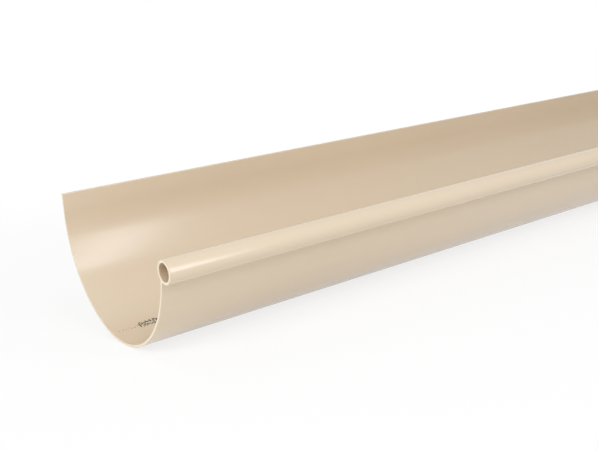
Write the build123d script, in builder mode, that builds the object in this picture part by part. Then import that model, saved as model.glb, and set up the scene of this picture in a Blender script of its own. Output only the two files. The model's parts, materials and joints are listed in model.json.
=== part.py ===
from build123d import *
import os
from math import asin, atan2, degrees

# Half-round eaves gutter with a hollow front bead, one PVC extrusion sawn to length. All sizes in
# millimetres. Frame: X along the gutter, bead towards -Y, +Z up, origin under the middle on the floor.

# Driving dimensions
length = 2000.0
inner_diameter = 115.0  # of the half round, which gives the trade size
wall = 1.5
back_rise = 12.0  # back rim above the centre of the half round
rim_rounding = 0.5  # corners of the back rim
bead_diameter = 12.5
bead_wall = 1.5
bead_drop = 6.0  # top of the bead below the back rim, so that the gutter spills over its front
bead_lap = 2.2  # how far the bead bulges past the inner face, into the channel
bead_blend = 1.2  # inside corners where the wall runs into the bead

# Worked out from them, in the section's own frame: centre of the half round at 0,0, back wall at +X
inner_radius = inner_diameter / 2
outer_radius = inner_radius + wall
bead_radius = bead_diameter / 2
bore_radius = bead_radius - bead_wall
bead_x = -inner_radius + bead_lap - bead_radius
bead_y = back_rise - bead_drop - bead_radius
front_turn = degrees(asin(bead_y / inner_radius))  # the round runs up to the middle of the bead
rim_radius = min(rim_rounding, 0.45 * wall)

# Section, standing upright
with BuildSketch() as section:
    with BuildLine():
        outside = CenterArc((0, 0), outer_radius, 180 - front_turn, 180 + front_turn)
        back_outside = Line(outside @ 1, (outer_radius, back_rise))
        rim = Line(back_outside @ 1, (inner_radius, back_rise))
        Line(rim @ 1, (inner_radius, 0))
        inside = CenterArc((0, 0), inner_radius, 0, -180 - front_turn)
        Line(inside @ 1, outside @ 0)
    make_face()
    fillet(section.vertices().group_by(Axis.Y)[-1], rim_radius)

    # The front wall runs up into the bead, and both its faces blend into the tube
    with Locations((bead_x, bead_y)):
        Circle(bead_radius)
    fillet(section.vertices().sort_by_distance((bead_x, bead_y))[:2], bead_blend)
    with Locations((bead_x, bead_y)):
        Circle(bore_radius, mode=Mode.SUBTRACT)

# Laid on a level floor it rolls towards the heavier bead, until its centre of mass hangs straight
# below the centre of the half round
balance = section.face().center(CenterOf.MASS)
lean = degrees(atan2(-balance.X, -balance.Y))
lying = section.face().rotate(Axis.Z, lean)
box = lying.bounding_box()

# One extrusion, both ends sawn square
with BuildPart() as gutter:
    with BuildSketch(Plane.YZ.offset(-length / 2)):
        with Locations((-box.center().X, -box.min.Y)):
            add(lying)
    extrude(amount=length)

gutter.part.label = "gutter"
os.makedirs("parts", exist_ok=True)
export_step(gutter.part, "parts/gutter.step")

print("lean", round(lean, 3), "degrees, section", round(section.face().area, 1), "mm2")
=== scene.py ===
import json
import random
from math import acos, atan2, ceil, cos, pi, radians, sin

import bmesh
import bpy
from mathutils import Matrix, Quaternion, Vector


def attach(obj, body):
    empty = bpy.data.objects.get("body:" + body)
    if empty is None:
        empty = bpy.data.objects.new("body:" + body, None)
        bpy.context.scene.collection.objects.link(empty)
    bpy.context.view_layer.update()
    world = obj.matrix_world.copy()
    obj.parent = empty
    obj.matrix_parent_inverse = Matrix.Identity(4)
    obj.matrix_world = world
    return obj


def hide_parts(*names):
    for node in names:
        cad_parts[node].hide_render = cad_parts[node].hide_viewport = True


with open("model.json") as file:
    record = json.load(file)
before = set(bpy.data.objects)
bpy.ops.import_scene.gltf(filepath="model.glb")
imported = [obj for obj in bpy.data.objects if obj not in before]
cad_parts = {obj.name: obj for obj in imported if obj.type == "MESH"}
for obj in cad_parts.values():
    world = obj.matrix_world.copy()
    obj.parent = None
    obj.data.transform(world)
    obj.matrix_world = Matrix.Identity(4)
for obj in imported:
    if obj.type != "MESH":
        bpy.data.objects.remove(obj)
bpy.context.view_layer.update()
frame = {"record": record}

# Half-round PVC gutter with a hollow front bead, lying by itself on a white floor. Metres, with the
# gutter along X, its bead towards -Y and the floor at Z 0.

# The section, read from the frame: centres as (y, z), radii and the lean of the back wall
mounts = {m["name"]: m for m in frame["record"]["mounts"]}
ROUND = Vector(mounts["bracket_seat"]["pos_m"][1:])
BEAD = Vector(mounts["bead_clip"]["pos_m"][1:])
BACK = Vector(mounts["back_face"]["axis"][1:]).normalized()  # out of the back wall
RISE = Vector((-BACK.y, BACK.x))  # up the back wall
LEAN = atan2(BACK.y, BACK.x)
OUTER_R = mounts["bracket_seat"]["dims"]["r_mm"] / 1000
BEAD_R = mounts["bead_clip"]["dims"]["r_mm"] / 1000
BORE_R = mounts["bead_bore"]["dims"]["r_mm"] / 1000
WALL = 2 * mounts["end_left"]["pos_m"][2]
INNER_R = OUTER_R - WALL
HALF_LENGTH = mounts["end_right"]["pos_m"][0]
NEAR_END = Vector((-HALF_LENGTH, ROUND.x, ROUND.y))
X_AXIS = Vector((1, 0, 0))

# Sizes of the section that no mount gives
RIM_HEIGHT = 0.012  # back rim above the centre of the half round, along the wall
RIM_RADIUS = 0.0005  # of both its corners
RIM_TOP = (ROUND + BACK * (INNER_R + WALL / 2) + RISE * RIM_HEIGHT).y  # above the floor
BLEND_RADIUS = 0.0012  # inside corners between wall and bead
SAW_EDGE = 0.00012  # worn edge round both sawn ends

# How fine the visible mesh is
ARC_STEP = 0.0009  # longest chord of an arc
FEWEST_STEPS = 6  # chords of the smallest arcs
RING_STEP = 0.05  # distance between the rings along the gutter
SAME_POINT = 1e-6  # points nearer than this are one
HAIR = 1e-9  # radians short of a full turn, which would count as none
SHARP_ANGLE = radians(35)


# Section outline
def arc(centre, radius, start, end, way):
    """Points from one angle to another, anticlockwise for way 1 and clockwise for way -1."""
    sweep = (end - start) * way % (2 * pi)
    steps = max(FEWEST_STEPS, ceil(sweep * radius / ARC_STEP))
    turns = [start + way * sweep * i / steps for i in range(steps + 1)]
    return [centre + radius * Vector((cos(t), sin(t))) for t in turns]


def heading(start, end):
    return atan2(end.y - start.y, end.x - start.x)


def blend_centre(from_round):
    """Centre of a blend: this far from the half round's centre, and touching the bead from below."""
    from_bead = BEAD_R + BLEND_RADIUS
    apart = (BEAD - ROUND).length
    cosine = (from_round**2 + apart**2 - from_bead**2) / (2 * from_round * apart)
    turn = heading(ROUND, BEAD) + acos(cosine)
    return ROUND + from_round * Vector((cos(turn), sin(turn)))


def skin_outline():
    """The whole outside of the section, anticlockwise from the foot of the back wall's outer face."""
    crown = RISE * (RIM_HEIGHT - RIM_RADIUS)
    outer_crown = ROUND + BACK * (OUTER_R - RIM_RADIUS) + crown
    inner_crown = ROUND + BACK * (INNER_R + RIM_RADIUS) + crown
    inner = blend_centre(INNER_R - BLEND_RADIUS)
    outer = blend_centre(OUTER_R + BLEND_RADIUS)
    points = [ROUND + BACK * OUTER_R]
    points += arc(outer_crown, RIM_RADIUS, LEAN, LEAN + pi / 2, 1)
    points += arc(inner_crown, RIM_RADIUS, LEAN + pi / 2, LEAN + pi, 1)
    points += arc(ROUND, INNER_R, LEAN, heading(ROUND, inner), -1)
    points += arc(inner, BLEND_RADIUS, heading(ROUND, inner), heading(inner, BEAD), -1)
    points += arc(BEAD, BEAD_R, heading(BEAD, inner), heading(BEAD, outer), 1)
    points += arc(outer, BLEND_RADIUS, heading(outer, BEAD), heading(outer, ROUND), -1)
    points += arc(ROUND, OUTER_R, heading(ROUND, outer), LEAN, 1)
    return closed_loop(points)


def bore_outline():
    """The bead's bore, clockwise, so that the material is on its left as on the outside's."""
    return closed_loop(arc(BEAD, BORE_R, pi, -pi + HAIR, -1))


def closed_loop(points):
    """The same points without those that repeat the one before."""
    return [p for i, p in enumerate(points) if (p - points[i - 1]).length > SAME_POINT]


def inset(points, depth):
    """The loop moved into the material, which lies on its left."""
    moved = []
    for i, p in enumerate(points):
        along = (points[(i + 1) % len(points)] - points[i - 1]).normalized()
        moved.append(p + depth * Vector((-along.y, along.x)))
    return moved


# The gutter's visible mesh
SKIN, SAWN, BORE = 0, 1, 2  # its materials


def add_tube(bm, loop, material):
    """Rings of one closed loop from end to end, filled between. Returns the first and the last ring."""
    worn = inset(loop, SAW_EDGE)
    reach = HALF_LENGTH - SAW_EDGE
    bays = round(2 * reach / RING_STEP)
    rows = [(-HALF_LENGTH, worn)]
    rows += [(reach * (2 * i / bays - 1), loop) for i in range(bays + 1)]
    rows += [(HALF_LENGTH, worn)]
    rings = [[bm.verts.new((x, p.x, p.y)) for p in points] for x, points in rows]
    for a, b in zip(rings, rings[1:]):
        for i in range(len(loop)):
            bm.faces.new((a[i - 1], b[i - 1], b[i], a[i])).material_index = material
    return rings[0], rings[-1]


def ring_edges(bm, ring):
    return [bm.edges.get((v, ring[i - 1])) for i, v in enumerate(ring)]


def gutter_mesh():
    """The skin and the bore as tubes, with the sawn faces filled between them at both ends."""
    bm = bmesh.new()
    tubes = [add_tube(bm, skin_outline(), SKIN), add_tube(bm, bore_outline(), BORE)]
    for side in (0, 1):
        edges = [e for tube in tubes for e in ring_edges(bm, tube[side])]
        filled = bmesh.ops.triangle_fill(bm, use_beauty=True, edges=edges)
        for face in filled["geom"]:
            if isinstance(face, bmesh.types.BMFace):
                face.material_index = SAWN
    bmesh.ops.recalc_face_normals(bm, faces=bm.faces)
    mesh = finished_mesh("gutter_body", bm)
    mesh.shade_smooth()
    mesh.set_sharp_from_angle(angle=SHARP_ANGLE)
    return mesh


def finished_mesh(name, bm):
    mesh = bpy.data.meshes.new(name)
    bm.to_mesh(mesh)
    bm.free()
    return mesh


# Marks printed inside, near the bottom: rows of ink dots that spell nothing, after a few fainter dots
PRINT_TURN = radians(-73.5)  # middle of the printed line, about the half round's centre
FAINT_START, FULL_START, PRINT_END = 0.004, 0.0167, 0.047  # from the near end
FAINT_SPREAD = 0.0008  # to either side of the line's middle
FAINT_STEPS = 0.0009, 0.0024  # least and most
FAINT_RADII = 0.0002, 0.0004
FULL_RADII = 0.0003, 0.00058
PRINT_ROWS = 7
ROW_PITCH = 0.0008
COLUMN_PITCH = 0.0009
INKED_SHARE = 0.52  # of the places in the full rows
DOT_SIDES = 8
DOT_SINK = 0.00005  # into the wall
DOT_PROUD = 0.00002
PRINT_SEED = 11


def add_dot(bm, along, around, radius):
    """A flat ink dot on the inner surface: a distance from the near end, and one round the section."""
    turn = PRINT_TURN + around / INNER_R
    outward = Vector((0, cos(turn), sin(turn)))
    centre = NEAR_END + X_AXIS * along + outward * (INNER_R + (DOT_SINK - DOT_PROUD) / 2)
    across = outward.cross(X_AXIS)
    place = Matrix((X_AXIS, across, outward)).transposed().to_4x4()
    place.translation = centre
    bmesh.ops.create_cone(
        bm, cap_ends=True, segments=DOT_SIDES, radius1=radius, radius2=radius,
        depth=DOT_SINK + DOT_PROUD, matrix=place,
    )


def print_mesh():
    bm = bmesh.new()
    draw = random.Random(PRINT_SEED)
    along = FAINT_START
    while along < FULL_START:
        height = draw.uniform(-FAINT_SPREAD, FAINT_SPREAD)
        add_dot(bm, along, height, draw.uniform(*FAINT_RADII))
        along += draw.uniform(*FAINT_STEPS)
    columns = round((PRINT_END - FULL_START) / COLUMN_PITCH)
    for column in range(columns):
        for row in range(PRINT_ROWS):
            if draw.random() < INKED_SHARE:
                height = (row - (PRINT_ROWS - 1) / 2) * ROW_PITCH
                add_dot(bm, FULL_START + column * COLUMN_PITCH, height, draw.uniform(*FULL_RADII))
    return finished_mesh("print_marks", bm)


# Materials. Each varies between two colours, and bumps are in metres
SAND = (0.665, 0.547, 0.405), (0.69, 0.573, 0.43)
BORE_SHADED_SAND = (0.65, 0.50, 0.345), (0.675, 0.525, 0.37)  # painted shade: darker and warmer than the skin, for the shade and bounced light inside the bore
SAWN_SAND = (0.82, 0.71, 0.535), (0.90, 0.80, 0.64)
INK = (0.03, 0.023, 0.018), (0.1, 0.075, 0.055)
PVC_IOR = 1.54
SATIN = 0.17, 0.23  # roughness of the glossiest and of the dullest bands
RIM_WEAR = 0.35  # added to it where the back rim is rubbed
WEAR_START, WEAR_END = RIM_TOP - 0.0008, RIM_TOP - 0.0002  # heights over which the wear sets in
LINES_IN_COLOUR = 0.06
LINES_IN_GLOSS = 0.3
RIPPLE_BUMP = 0.00008
LINE_BUMP = 0.000001
PEBBLE_BUMP = 0.000003
SAW_BUMP = 0.00003
CHIP_BUMP = 0.00002
SAW_SLANT = radians(24)


def new_material(name):
    material = bpy.data.materials.new(name)
    material.use_nodes = True
    return material, material.node_tree, material.node_tree.nodes["Principled BSDF"]


def add(tree, kind, inputs, **settings):
    """A new node with these settings. Each input is a value, or the output that is linked to it."""
    node = tree.nodes.new(kind)
    for name, value in settings.items():
        setattr(node, name, value)
    for name, value in inputs.items():
        if isinstance(value, bpy.types.NodeSocket):
            tree.links.new(value, node.inputs[name])
        else:
            node.inputs[name].default_value = value
    return node


def math_node(tree, operation, *values):
    return add(tree, "ShaderNodeMath", dict(enumerate(values)), operation=operation).outputs[0]


def vector_node(tree, operation, *values):
    return add(tree, "ShaderNodeVectorMath", dict(enumerate(values)), operation=operation).outputs


def stretched_noise(tree, spots, detail=2.0, roughness=0.5, turn=0.0):
    """Noise in the object's own coordinates, with this many spots in a metre of X, Y and Z."""
    place = tree.nodes.get("place") or add(tree, "ShaderNodeTexCoord", {}, name="place")
    scaled = add(tree, "ShaderNodeMapping", {
        "Vector": place.outputs["Object"], "Rotation": (turn, 0, 0), "Scale": spots,
    })
    noise = add(tree, "ShaderNodeTexNoise", {
        "Vector": scaled.outputs[0], "Scale": 1.0, "Detail": detail, "Roughness": roughness,
    })
    return noise.outputs["Fac"]


def ranged(tree, value, low, high, start=0.3, end=0.7):
    """The value from start to end, where most of a noise lies, spread from low to high."""
    return add(tree, "ShaderNodeMapRange", {
        "Value": value, "From Min": start, "From Max": end, "To Min": low, "To Max": high,
    }).outputs[0]


def blend_colours(tree, share, colours):
    """The first of two colours at share 0 and the second at 1."""
    first, second = colours
    return add(tree, "ShaderNodeMix", {
        0: share, 6: (*first, 1), 7: (*second, 1),
    }, data_type="RGBA").outputs[2]


def raised(tree, height, depth, below=None):
    """A bump this many metres deep, on top of another."""
    inputs = {"Height": height, "Distance": depth}
    if below:
        inputs["Normal"] = below
    return add(tree, "ShaderNodeBump", inputs).outputs[0]


def pvc_material(name, colours):
    """Satin sand-coloured PVC with the die's lines, a slow ripple, a finer pebble and a rubbed rim."""
    material, tree, shader = new_material(name)
    bands = stretched_noise(tree, (0.8, 45, 45))
    lines = stretched_noise(tree, (1.5, 700, 700), detail=3.0)
    ripple = stretched_noise(tree, (6, 32, 32), detail=1.0)
    pebble = stretched_noise(tree, (260, 420, 420))
    clouds = stretched_noise(tree, (6, 12, 12), detail=3.0)

    mixed = math_node(tree, "ADD", bands, clouds)
    streaked = math_node(tree, "MULTIPLY_ADD", lines, LINES_IN_COLOUR, mixed)
    share = ranged(tree, streaked, 0, 1, start=0.75, end=1.3)
    tree.links.new(blend_colours(tree, share, colours), shader.inputs["Base Color"])

    gloss = math_node(tree, "MULTIPLY_ADD", lines, LINES_IN_GLOSS, bands)
    satin = ranged(tree, gloss, *SATIN, start=0.45, end=0.85)
    level = add(tree, "ShaderNodeSeparateXYZ", {0: tree.nodes["place"].outputs["Object"]}).outputs["Z"]
    rubbed = ranged(tree, level, 0, RIM_WEAR, WEAR_START, WEAR_END)
    tree.links.new(math_node(tree, "ADD", satin, rubbed), shader.inputs["Roughness"])
    shader.inputs["IOR"].default_value = PVC_IOR

    bump = raised(tree, ripple, RIPPLE_BUMP)
    bump = raised(tree, lines, LINE_BUMP, bump)
    bump = raised(tree, pebble, PEBBLE_BUMP, bump)
    tree.links.new(bump, shader.inputs["Normal"])
    return material


def cut_material():
    """The sawn ends: paler and matt, with the blade's slanting marks and small chips."""
    material, tree, shader = new_material("sawn_pvc")
    marks = stretched_noise(tree, (1, 1400, 60), turn=SAW_SLANT)
    chips = stretched_noise(tree, (1, 900, 900), detail=4.0, roughness=0.7)
    share = ranged(tree, math_node(tree, "ADD", marks, chips), 0, 1, start=0.75, end=1.25)
    tree.links.new(blend_colours(tree, share, SAWN_SAND), shader.inputs["Base Color"])
    tree.links.new(ranged(tree, chips, 0.5, 0.7), shader.inputs["Roughness"])
    bump = raised(tree, marks, SAW_BUMP)
    tree.links.new(raised(tree, chips, CHIP_BUMP, bump), shader.inputs["Normal"])
    return material


def ink_material():
    """Dark brown ink, thinner and paler where it dried unevenly."""
    material, tree, shader = new_material("print_ink")
    density = stretched_noise(tree, (900, 900, 900), detail=3.0)
    colour = blend_colours(tree, ranged(tree, density, 0, 1), INK)
    tree.links.new(colour, shader.inputs["Base Color"])
    tree.links.new(ranged(tree, density, 0.4, 0.6), shader.inputs["Roughness"])
    return material


# Pieces
def new_object(name, data):
    made = bpy.data.objects.new(name, data)
    bpy.context.scene.collection.objects.link(made)
    return made


def add_piece(name, mesh, *materials):
    piece = new_object(name, mesh)
    for material in materials:
        mesh.materials.append(material)
    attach(piece, "root")
    return piece


skin = pvc_material("sand_pvc", SAND)
# The bore gets a darker, warmer copy of the PVC: painted shade and bounced light, not a different
# plastic
bore = pvc_material("bore_pvc_painted_shade", BORE_SHADED_SAND)
body = add_piece("gutter_body", gutter_mesh(), skin, cut_material(), bore)
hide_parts("gutter")
add_piece("print_marks", print_mesh(), ink_material())


# Floor, world and lamps
FLOOR_REACH = 6.0
FLOOR_COLOUR = (0.9, 0.9, 0.9, 1)
FLOOR_ROUGHNESS = 0.9
SHADOW_START, SHADOW_END = 0.1, 0.8  # distance from the gutter over which the floor's shadow fades
SHADOW_SHARE = 0.2  # how much of the lit floor shows beside the gutter, the rest being plain white
WORLD_LEVEL = 0.5


def background_rays(tree):
    """1 for the rays that show the background: the camera's, and those that gloss or glass turns."""
    path = add(tree, "ShaderNodeLightPath", {})
    seen = path.outputs["Is Camera Ray"]
    for name in ("Is Glossy Ray", "Is Transmission Ray"):
        seen = math_node(tree, "MAXIMUM", seen, path.outputs[name])
    return seen


def white_floor():
    """A pale floor that shows as white, apart from a share of its own light and shade by the gutter."""
    mesh = bpy.data.meshes.new("floor")
    sides = (-1, -1), (1, -1), (1, 1), (-1, 1)
    mesh.from_pydata([(x * FLOOR_REACH, y * FLOOR_REACH, 0) for x, y in sides], [], [(0, 1, 2, 3)])
    floor = new_object("floor", mesh)
    material, tree, shader = new_material("floor_white")
    shader.inputs["Base Color"].default_value = FLOOR_COLOUR
    shader.inputs["Roughness"].default_value = FLOOR_ROUGHNESS
    place = add(tree, "ShaderNodeTexCoord", {}).outputs["Object"]
    folded = vector_node(tree, "ABSOLUTE", place)[0]
    outside = vector_node(tree, "SUBTRACT", folded, (HALF_LENGTH, 0, 0))[0]
    beyond = vector_node(tree, "MAXIMUM", outside, (0, 0, 0))[0]
    away = vector_node(tree, "LENGTH", beyond)["Value"]
    plain = add(tree, "ShaderNodeMapRange", {
        "Value": away, "From Min": SHADOW_START, "From Max": SHADOW_END, "To Min": 1 - SHADOW_SHARE,
    }, interpolation_type="SMOOTHSTEP").outputs[0]
    share = math_node(tree, "MULTIPLY", background_rays(tree), plain)
    white = add(tree, "ShaderNodeEmission", {"Strength": 1.0}).outputs[0]
    mix = add(tree, "ShaderNodeMixShader", {0: share, 1: shader.outputs[0], 2: white}).outputs[0]
    tree.links.new(mix, tree.nodes["Material Output"].inputs["Surface"])
    mesh.materials.append(material)


def white_world(level):
    """White to the rays that show the background, and this level to the light that it sheds."""
    world = bpy.data.worlds.new("world")
    bpy.context.scene.world = world
    world.use_nodes = True
    tree = world.node_tree
    background = tree.nodes["Background"]
    background.inputs["Color"].default_value = (1, 1, 1, 1)
    strength = ranged(tree, background_rays(tree), level, 1, start=0, end=1)
    tree.links.new(strength, background.inputs["Strength"])


def softbox(name, place, aim, size, power, colour=(1, 1, 1)):
    """A rectangular lamp of this width and height in metres and power in watts."""
    lamp = bpy.data.lights.new(name, "AREA")
    lamp.color = colour
    lamp.shape = "RECTANGLE"
    lamp.size, lamp.size_y = size
    lamp.energy = power
    hung = new_object(name, lamp)
    hung.location = place
    hung.rotation_euler = (Vector(aim) - Vector(place)).to_track_quat("-Z", "Y").to_euler()


white_floor()
white_world(WORLD_LEVEL)
softbox("left", (-1.73, -0.417, 0.766), NEAR_END, size=(0.45, 0.45), power=5.7)
softbox("front", (-1.0, -0.839, 0.766), NEAR_END, size=(0.45, 0.45), power=2.4)
softbox(
    "strip", (-0.53, -1.0, 0.43), (-0.53, 0, 0.43), size=(0.15, 0.84), power=2.7,
    colour=(0.9, 0.94, 1),
)
softbox("back", (-1.0, 0.6, 0.8), (-1.0, 0, 0.05), size=(0.5, 0.5), power=0.8)


# Camera, at the photograph's angle
EYE = NEAR_END + Vector((-0.1641, -0.4081, 0.0746))
AZIMUTH = radians(34.90)
ELEVATION = radians(-12.28)
ROLL = radians(7.20)
camera = bpy.data.cameras.new("camera")
camera.lens = 49.92
camera.sensor_width = 36.0
camera.shift_y = 0.042
camera.clip_start = 0.01
eye = new_object("camera", camera)
sight = Vector((sin(AZIMUTH) * cos(ELEVATION), cos(AZIMUTH) * cos(ELEVATION), sin(ELEVATION)))
eye.location = EYE
eye.rotation_mode = "QUATERNION"
eye.rotation_quaternion = Quaternion(sight, ROLL) @ sight.to_track_quat("-Z", "Y")
bpy.context.scene.camera = eye
bpy.context.scene.view_settings.view_transform = "Standard"

bpy.context.view_layer.update()
